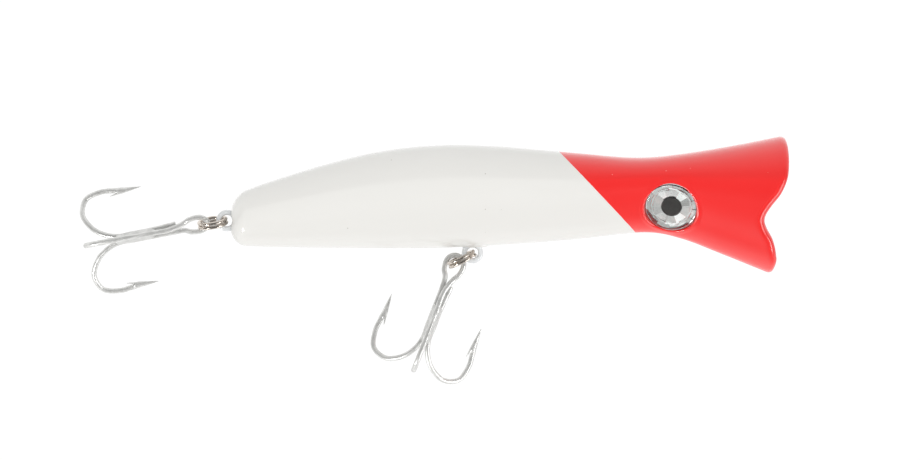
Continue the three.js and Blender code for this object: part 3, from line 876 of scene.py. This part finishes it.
HOOK_WIRE_R = 0.765
HOOK_LENGTH = 36.8
SHANK_OFFSET = 1.05
HOOK_EYE_R = 2.7
NECK_STRETCH = 1.75                       # how much longer the eye is towards the shank
SINGLE_SHANK_END = 26.8
SINGLE_SHANK_LIFT = 0.5
HOOK_BEND = [(10, SHANK_OFFSET), (5.9, 2.7), (2.9, 5.6), (1.0, 10.4), (2.7, 15.2), (7.2, 16.7),
             (11.5, 16.3)]
HOOK_SHANK = [(25, SHANK_OFFSET), (19, SHANK_OFFSET), (14, SHANK_OFFSET)]
POINT_LINE = [(11.5, 16.3, 0.84), (12.2, 16.0, 1.0), (13.2, 15.93, 0.95), (15.4, 15.97, 0.64),
              (17.4, 16.0, 0.32), (18.9, 16.03, 0.03)]
BARB = [(13.0, 15.35, 0.34), (12.0, 15.17, 0.26), (10.8, 14.93, 0.17), (9.7, 14.72, 0.04)]


class Treble:
    def __init__(self, bottom, up):
        self.bottom = np.asarray(bottom, float)
        self.axis = unit(np.asarray(up, float))
        front = np.array([0, -1.0, 0])
        self.front = unit(front - self.axis * np.dot(front, self.axis))
        self.side = np.cross(self.axis, self.front)

    def direction(self, degrees):
        turn = math.radians(degrees)
        return self.front * math.cos(turn) + self.side * math.sin(turn)

    def at(self, height, offset, direction):
        return self.bottom + self.axis * height + direction * offset

    def points(self, degrees, profile):
        direction = self.direction(degrees)
        return [self.at(height, offset, direction) for height, offset in profile]


def hook_point(treble, degrees):
    """The ground spear point that carries on from the bend."""
    direction = treble.direction(degrees)
    normal = np.cross(treble.axis, direction)
    path = [treble.at(9.6, 16.52, direction), treble.at(10.6, 16.42, direction)]
    radii = [(0.5, 0.5), (0.78, 0.78)]
    for height, offset, half in POINT_LINE:
        path.append(treble.at(height, offset, direction))
        radii.append((half, half * 0.82))
    path = smooth_path(path, 42)
    where = np.linspace(0, len(radii) - 1, len(path))
    wide = np.interp(where, range(len(radii)), [r[0] for r in radii])
    thick = np.interp(where, range(len(radii)), [r[1] for r in radii])
    return skin("point", sweep(path, list(zip(wide, thick)), normal, 20))


def hook_barb(treble, degrees):
    """The sliver cut up from the inside of the point."""
    direction = treble.direction(degrees)
    normal = np.cross(treble.axis, direction)
    path = smooth_path([treble.at(h, o, direction) for h, o, _ in BARB], 16)
    wide = np.interp(np.linspace(0, len(BARB) - 1, 17), range(len(BARB)), [b[2] for b in BARB])
    return skin("barb", sweep(path, [(w, 0.16 + w) for w in wide], normal, 14))


def hook_eye(treble, first, second, twist):
    across = unit(treble.direction(first) - treble.direction(second))
    turned_across = Matrix.Rotation(math.radians(twist), 3, Vector(treble.axis)) @ Vector(across)
    across = np.array(turned_across)
    centre = HOOK_LENGTH - HOOK_WIRE_R - HOOK_EYE_R
    points = []
    for degrees in range(-60, 241, 30):
        turn = math.radians(degrees)
        stretch = NECK_STRETCH if degrees < 0 or degrees > 180 else 1
        height = centre + HOOK_EYE_R * math.sin(turn) * stretch
        points.append(treble.at(height, HOOK_EYE_R * math.cos(turn), across))
    return points


def add_points(made, treble, turns):
    for degrees in turns:
        combine(made, hook_point(treble, degrees), "UNION")
        combine(made, hook_barb(treble, degrees), "UNION")
    finish_shading(made, 45)


def double_hook(name, treble, first, second, twist, body, node):
    points = [*treble.points(first, HOOK_BEND[::-1]), *treble.points(first, HOOK_SHANK[::-1]),
              *hook_eye(treble, first, second, twist),
              *treble.points(second, HOOK_SHANK), *treble.points(second, HOOK_BEND)]
    made = wire(name, points, HOOK_WIRE_R, 330)
    add_points(made, treble, (first, second))
    place(made, HOOK_TIN, "hook_tin", body, node)


def single_hook(name, treble, degrees, body, node):
    end = (SINGLE_SHANK_END, SHANK_OFFSET + SINGLE_SHANK_LIFT)
    profile = [end, (19, SHANK_OFFSET), (14, SHANK_OFFSET)]
    made = wire(name, treble.points(degrees, [*profile, *HOOK_BEND]), HOOK_WIRE_R, 160)
    add_points(made, treble, (degrees,))
    place(made, HOOK_TIN, "hook_tin", body, node)


BRAZE_LOW = 8.6                           # where the solder starts and stops along the shanks
BRAZE_HIGH = 21.5
BRAZE_R = 1.24                            # its radius in the valleys
BRAZE_SWELL = 0.34                        # and how much more it has nearer the shanks
BRAZE_SUNK = 0.09                         # how far it lies under the wires' crests


def braze(name, treble, turns, body, seed):
    """Solder that has run into the three valleys between the shanks."""
    chance = random.Random(seed)
    waves = [(chance.uniform(1, 3), chance.uniform(0, 6.3), chance.uniform(0.3, 0.9))
             for _ in range(3)]
    sides = 72
    rings = []
    for height in np.linspace(BRAZE_LOW, BRAZE_HIGH, 60):
        share = (height - BRAZE_LOW) / (BRAZE_HIGH - BRAZE_LOW)
        ring = []
        for j in range(sides):
            turn = 360 * j / sides
            apart = min(abs((turn - t + 180) % 360 - 180) for t in turns)
            wave = sum(math.sin(math.radians(turn) * round(n) + p + height * s)
                       for n, p, s in waves) / 3
            ends = min(1, share / (0.10 + 0.04 * wave), (1 - share) / (0.14 + 0.05 * wave))
            fill = BRAZE_R + BRAZE_SWELL * (0.5 + 0.5 * math.cos(math.radians(min(60, apart) * 3)))
            radius = max(0.08, fill * math.sqrt(max(0.0, ends)) * (1 + 0.03 * wave))
            sunk = SHANK_OFFSET + HOOK_WIRE_R - BRAZE_SUNK - 0.55 * (apart / 30) ** 2
            if apart < 26:
                radius = min(radius, sunk)
            ring.append(treble.at(height, radius, treble.direction(turn)))
        rings.append(ring)
    place(skin(name, rings), SOLDER, "hook_tin", body)


TREBLES = {
    "tail": (Treble((-191.75, 0, -7.35), (0.9821, 0, 0.1882)), (0, 120), 240, -18),
    "belly": (Treble((-97.30, 2.5, -43.72), (0.3611, 0, 0.9325)), (0, 240), 120, 47),
}
for word, (treble, pair, third, twist) in TREBLES.items():
    moving = f"{word}_treble"
    double_hook(f"{word}_double_hook_wire", treble, *pair, twist, moving,
                f"{word}_treble_double_hook")
    single_hook(f"{word}_single_hook_wire", treble, third, moving, f"{word}_treble_single_hook")
    braze(f"{word}_treble_braze", treble, (*pair, third), moving, len(word))

# ---- CAD pieces that stay -----------------------------------------------------------------

KEPT = {
    "tail_ballast_weight": (LEAD, "lead"), "belly_ballast_weight": (LEAD, "lead"),
    "front_right_rattle_ball": (STEEL, "ball_steel"),
    "front_left_rattle_ball": (STEEL, "ball_steel"),
    "rear_right_rattle_ball": (STEEL, "ball_steel"),
    "rear_left_rattle_ball": (STEEL, "ball_steel"),
}
for name, (material, slot) in KEPT.items():
    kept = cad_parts[name]
    kept.data.materials.clear()
    kept.data.materials.append(material)

# ---- floor, backdrop and light ------------------------------------------------------------

FLOOR_Z = -120
FLOOR_R = 450
BACKDROP_R = 9000
WALLS_R = 6000
PANES_R = 5000


def emitter(name, color, strength):
    material = bpy.data.materials.new(name)
    material.use_nodes = True
    shader = material.node_tree.nodes["Principled BSDF"]
    shader.inputs["Base Color"].default_value = (0, 0, 0, 1)
    shader.inputs["Specular IOR Level"].default_value = 0
    shader.inputs["Emission Color"].default_value = (*color, 1)
    shader.inputs["Emission Strength"].default_value = strength
    return material


def staged(obj, camera=False, diffuse=False, glossy=False, transmission=False, shadow=False):
    obj.visible_camera = camera
    obj.visible_diffuse = diffuse
    obj.visible_glossy = glossy
    obj.visible_transmission = transmission
    obj.visible_shadow = shadow


def disc(name, radius, z, material):
    sides = 128
    turns = [2 * math.pi * j / sides for j in range(sides)]
    middle = VIEW_CENTRE.x / MM
    verts = [(middle + radius * math.cos(t), radius * math.sin(t), z) for t in turns]
    made = make_object(name, verts, [tuple(range(sides))], smooth=False)
    made.data.materials.append(material)
    return made


def dome(name, radius):
    rings = []
    for lift in np.radians(np.linspace(-88, 88, 24)):
        rings.append([(radius * math.cos(lift) * math.cos(t), radius * math.cos(lift) * math.sin(t),
                       radius * math.sin(lift)) for t in np.linspace(0, 2 * math.pi, 49)[:-1]])
    return skin(name, rings)


# What the lure's gloss mirrors: (degrees round from the camera's side up over the top, brightness).
WALL_BANDS = [
    (-180, 0.90), (-130, 1.08), (-114, 1.24), (-94, 1.08), (-74, 0.34), (-44, 0.20), (-14, 0.18),
    (-5, 0.04), (6, 0.04), (14, 0.14), (40, 0.34), (66, 0.84), (100, 1.32), (180, 1.20),
]


def studio_walls():
    walls = Paint("studio_walls", Specular_IOR_Level=0.0, Base_Color=(0, 0, 0, 1))
    split = walls.node("ShaderNodeSeparateXYZ")
    walls.link(walls.place, split.inputs[0])
    toward = walls.math("MULTIPLY", split.outputs[1], -1.0)
    turn = walls.math("ARCTAN2", split.outputs[2], toward)
    ramp = walls.node("ShaderNodeValToRGB")
    stops = ramp.color_ramp.elements
    while len(stops) < len(WALL_BANDS):
        stops.new(0.5)
    for stop, (degrees, level) in zip(stops, WALL_BANDS):
        stop.position = (degrees + 180) / 360
        stop.color = (level / 2, level / 2, level / 2, 1)
    walls.link(walls.ramp(turn, -math.pi, math.pi), ramp.inputs[0])
    walls.link(ramp.outputs[0], walls.shader.inputs["Emission Color"])
    walls.shader.inputs["Emission Strength"].default_value = 2.0
    return walls.material


def studio_panes():
    """Patchy surroundings that only the eye's foil mirrors, through its lens."""
    panes = Paint("studio_panes", Specular_IOR_Level=0.0, Base_Color=(0, 0, 0, 1))
    cells = panes.node("ShaderNodeTexVoronoi")
    cells.inputs["Scale"].default_value = 0.9
    panes.link(panes.place, cells.inputs["Vector"])
    pick = panes.node("ShaderNodeSeparateColor")
    panes.link(cells.outputs["Color"], pick.inputs[0])
    level = panes.math("POWER", pick.outputs[0], 2.5)
    panes.link(panes.mix(level, (0.36, 0.36, 0.355), (1.0, 1.0, 1.0)),
               panes.shader.inputs["Emission Color"])
    panes.shader.inputs["Emission Strength"].default_value = 1.5
    return panes.material


def make_stage():
    pale = Paint("pale_floor", Roughness=0.9)
    pale.color(pale.mix(pale.noise(6, 3), (0.93, 0.93, 0.925), (0.91, 0.91, 0.905)))
    floor = disc("floor", FLOOR_R, FLOOR_Z, pale.material)
    staged(floor, camera=True, diffuse=True)
    backdrop = dome("backdrop", BACKDROP_R)
    backdrop.data.materials.append(emitter("white_backdrop", (1, 1, 1), 1.05))
    staged(backdrop, camera=True)
    studio = dome("studio_walls", WALLS_R)
    studio.data.materials.append(studio_walls())
    staged(studio, glossy=True)
    panes = dome("studio_panes", PANES_R)
    panes.data.materials.append(studio_panes())
    staged(panes, transmission=True)


def make_world():
    world = bpy.data.worlds.new("studio")
    world.use_nodes = True
    back = world.node_tree.nodes["Background"]
    back.inputs["Color"].default_value = (1.0, 1.0, 0.99, 1)
    back.inputs["Strength"].default_value = 0.63
    bpy.context.scene.world = world
    bpy.context.scene.view_settings.view_transform = "Standard"


def area_light(name, spot, target, size, power):
    data = bpy.data.lights.new(name, "AREA")
    data.shape = "RECTANGLE"
    data.size, data.size_y = size
    data.energy = power
    light = bpy.data.objects.new(name, data)
    light.location = spot
    light.rotation_euler = (Vector(target) - Vector(spot)).to_track_quat("-Z", "Y").to_euler()
    bpy.context.scene.collection.objects.link(light)
    return light


make_stage()
make_world()
CENTRE = Vector((VIEW_CENTRE.x, 0, 0))


def soft_box(name, azimuth, elevation, distance, size, radiance, mirrored):
    """A flat light, size wide by high, at that azimuth (0 = the camera) and elevation."""
    turn, lift = math.radians(azimuth), math.radians(elevation)
    way = Vector((math.sin(turn) * math.cos(lift), -math.cos(turn) * math.cos(lift),
                  math.sin(lift)))
    light = area_light(name, CENTRE + way * distance, CENTRE, size,
                       radiance * math.pi * size[0] * size[1])
    light.visible_glossy = mirrored
    light.visible_transmission = False
    light.visible_diffuse = not mirrored


soft_box("left_soft_box", -52, -42, 1.0, (0.22, 0.22), 30, mirrored=True)
soft_box("right_soft_box", 60, -24, 1.0, (0.2, 0.9), 9, mirrored=True)
soft_box("front_fill", 0, -30, 1.5, (2.0, 2.0), 1.85, mirrored=False)
soft_box("table_fill", 0, -80, 1.5, (1.6, 1.6), 0.72, mirrored=False)
